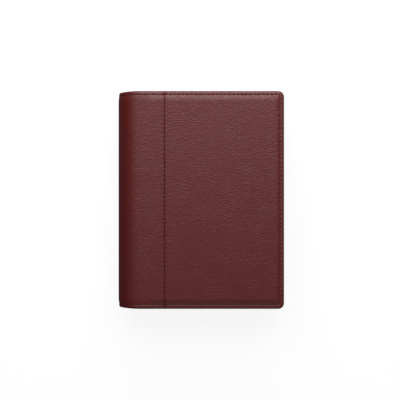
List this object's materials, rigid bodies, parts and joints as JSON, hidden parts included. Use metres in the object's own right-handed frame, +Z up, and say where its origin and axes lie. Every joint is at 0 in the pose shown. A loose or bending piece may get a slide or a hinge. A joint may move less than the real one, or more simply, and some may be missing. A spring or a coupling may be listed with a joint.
{
  "type": "coin album",
  "caption": "Padded leather coin album with a rounded flexible spine, stitched covers, a lever-opened ring mechanism and clear-pocket coin leaves.",
  "frame": {"origin": "centre of the closed album's footprint, on the surface that it lies on", "axes": "+Z up out of the front cover, +Y towards the head, -X towards the spine"},
  "size_m": [0.198, 0.26, 0.056],
  "materials": {
    "burgundy_leather": "grained, semi-matt",
    "foam": "cut foam",
    "grey_board": "pressed board",
    "lining": "fine woven",
    "nickel_plate": "bright nickel",
    "leaf_card": "fine matt",
    "clear_film": "clear"
  },
  "bodies": {
    "back_cover": {"back_leather": "burgundy_leather", "back_wrap_leather": "burgundy_leather", "back_padding": "foam", "back_board": "grey_board", "back_lining": "lining", "ring_housing": "nickel_plate", "housing_rivets": "nickel_plate"},
    "spine_1": {"spine_1_leather": "burgundy_leather", "spine_1_card": "grey_board", "spine_1_lining": "lining"},
    "spine_2": {"spine_2_leather": "burgundy_leather", "spine_2_card": "grey_board", "spine_2_lining": "lining"},
    "spine_3": {"spine_3_leather": "burgundy_leather", "spine_3_card": "grey_board", "spine_3_lining": "lining"},
    "spine_4": {"spine_4_leather": "burgundy_leather", "spine_4_card": "grey_board", "spine_4_lining": "lining"},
    "spine_5": {"spine_5_leather": "burgundy_leather", "spine_5_card": "grey_board", "spine_5_lining": "lining"},
    "front_cover": {"front_leather": "burgundy_leather", "front_wrap_leather": "burgundy_leather", "front_padding": "foam", "front_board": "grey_board", "front_lining": "lining"},
    "left_ring_half": {"left_carrier": "nickel_plate", "left_rings": "nickel_plate"},
    "right_ring_half": {"right_carrier": "nickel_plate", "right_rings": "nickel_plate"},
    "top_lever": {"top_lever": "nickel_plate"},
    "bottom_lever": {"bottom_lever": "nickel_plate"},
    "leaf_1": {"leaf_1_sheet": "leaf_card", "leaf_1_pockets": "clear_film"},
    "leaf_2": {"leaf_2_sheet": "leaf_card", "leaf_2_pockets": "clear_film"},
    "leaf_3": {"leaf_3_sheet": "leaf_card", "leaf_3_pockets": "clear_film"},
    "leaf_4": {"leaf_4_sheet": "leaf_card", "leaf_4_pockets": "clear_film"},
    "leaf_5": {"leaf_5_sheet": "leaf_card", "leaf_5_pockets": "clear_film"},
    "leaf_6": {"leaf_6_sheet": "leaf_card", "leaf_6_pockets": "clear_film"},
    "leaf_7": {"leaf_7_sheet": "leaf_card", "leaf_7_pockets": "clear_film"},
    "leaf_8": {"leaf_8_sheet": "leaf_card", "leaf_8_pockets": "clear_film"}
  },
  "joints": [
    {"name": "album_open", "type": "hinge", "parent": "back_cover", "child": "spine_1", "pos_m": [-0.071, 0, 0], "axis": [0, -1, 0], "range_deg": [0, 18]},
    {"name": "spine_fold_2", "type": "hinge", "parent": "spine_1", "child": "spine_2", "pos_m": [-0.08746, 0, 0.00535], "axis": [0, -1, 0], "range_deg": [0, 36]},
    {"name": "spine_fold_3", "type": "hinge", "parent": "spine_2", "child": "spine_3", "pos_m": [-0.09763, 0, 0.01935], "axis": [0, -1, 0], "range_deg": [0, 36]},
    {"name": "spine_fold_4", "type": "hinge", "parent": "spine_3", "child": "spine_4", "pos_m": [-0.09763, 0, 0.03665], "axis": [0, -1, 0], "range_deg": [0, 36]},
    {"name": "spine_fold_5", "type": "hinge", "parent": "spine_4", "child": "spine_5", "pos_m": [-0.08746, 0, 0.05065], "axis": [0, -1, 0], "range_deg": [0, 36]},
    {"name": "front_hinge", "type": "hinge", "parent": "spine_5", "child": "front_cover", "pos_m": [-0.071, 0, 0.056], "axis": [0, -1, 0], "range_deg": [0, 18]},
    {"name": "leaf_1_turn", "type": "hinge", "parent": "back_cover", "child": "leaf_1", "pos_m": [-0.056, 0, 0.02659], "axis": [0, -1, 0], "range_deg": [0, 180]},
    {"name": "leaf_2_turn", "type": "hinge", "parent": "back_cover", "child": "leaf_2", "pos_m": [-0.056, 0, 0.02659], "axis": [0, -1, 0], "range_deg": [0, 180]},
    {"name": "leaf_3_turn", "type": "hinge", "parent": "back_cover", "child": "leaf_3", "pos_m": [-0.056, 0, 0.02659], "axis": [0, -1, 0], "range_deg": [0, 180]},
    {"name": "leaf_4_turn", "type": "hinge", "parent": "back_cover", "child": "leaf_4", "pos_m": [-0.056, 0, 0.02659], "axis": [0, -1, 0], "range_deg": [0, 180]},
    {"name": "leaf_5_turn", "type": "hinge", "parent": "back_cover", "child": "leaf_5", "pos_m": [-0.056, 0, 0.02659], "axis": [0, -1, 0], "range_deg": [0, 180]},
    {"name": "leaf_6_turn", "type": "hinge", "parent": "back_cover", "child": "leaf_6", "pos_m": [-0.056, 0, 0.02659], "axis": [0, -1, 0], "range_deg": [0, 180]},
    {"name": "leaf_7_turn", "type": "hinge", "parent": "back_cover", "child": "leaf_7", "pos_m": [-0.056, 0, 0.02659], "axis": [0, -1, 0], "range_deg": [0, 180]},
    {"name": "leaf_8_turn", "type": "hinge", "parent": "back_cover", "child": "leaf_8", "pos_m": [-0.056, 0, 0.02659], "axis": [0, -1, 0], "range_deg": [0, 180]},
    {"name": "ring_open", "type": "hinge", "parent": "back_cover", "child": "left_ring_half", "pos_m": [-0.067, 0, 0.009], "axis": [0, -1, 0], "range_deg": [0, 9]},
    {"name": "ring_open_right", "type": "hinge", "parent": "back_cover", "child": "right_ring_half", "pos_m": [-0.045, 0, 0.009], "axis": [0, 1, 0], "range_deg": [0, 9]},
    {"name": "top_lever_press", "type": "hinge", "parent": "back_cover", "child": "top_lever", "pos_m": [-0.056, 0.108, 0.0075], "axis": [-1, 0, 0], "range_deg": [0, 25]},
    {"name": "bottom_lever_press", "type": "hinge", "parent": "back_cover", "child": "bottom_lever", "pos_m": [-0.056, -0.108, 0.0075], "axis": [1, 0, 0], "range_deg": [0, 25]}
  ],
  "couplings": [
    {"joint": "spine_fold_2", "follows": "album_open", "ratio": 2},
    {"joint": "spine_fold_3", "follows": "album_open", "ratio": 2},
    {"joint": "spine_fold_4", "follows": "album_open", "ratio": 2},
    {"joint": "spine_fold_5", "follows": "album_open", "ratio": 2},
    {"joint": "front_hinge", "follows": "album_open", "ratio": 1},
    {"joint": "leaf_1_turn", "follows": "album_open", "ratio": 10},
    {"joint": "leaf_2_turn", "follows": "album_open", "ratio": 10},
    {"joint": "leaf_3_turn", "follows": "album_open", "ratio": 10},
    {"joint": "leaf_4_turn", "follows": "album_open", "ratio": 10},
    {"joint": "leaf_5_turn", "follows": "album_open", "ratio": 0.066667},
    {"joint": "leaf_6_turn", "follows": "album_open", "ratio": 0.05},
    {"joint": "leaf_7_turn", "follows": "album_open", "ratio": 0.033333},
    {"joint": "leaf_8_turn", "follows": "album_open", "ratio": 0.016667},
    {"joint": "ring_open_right", "follows": "ring_open", "ratio": 1},
    {"joint": "top_lever_press", "follows": "ring_open", "ratio": 2.7778},
    {"joint": "bottom_lever_press", "follows": "ring_open", "ratio": 2.7778}
  ]
}
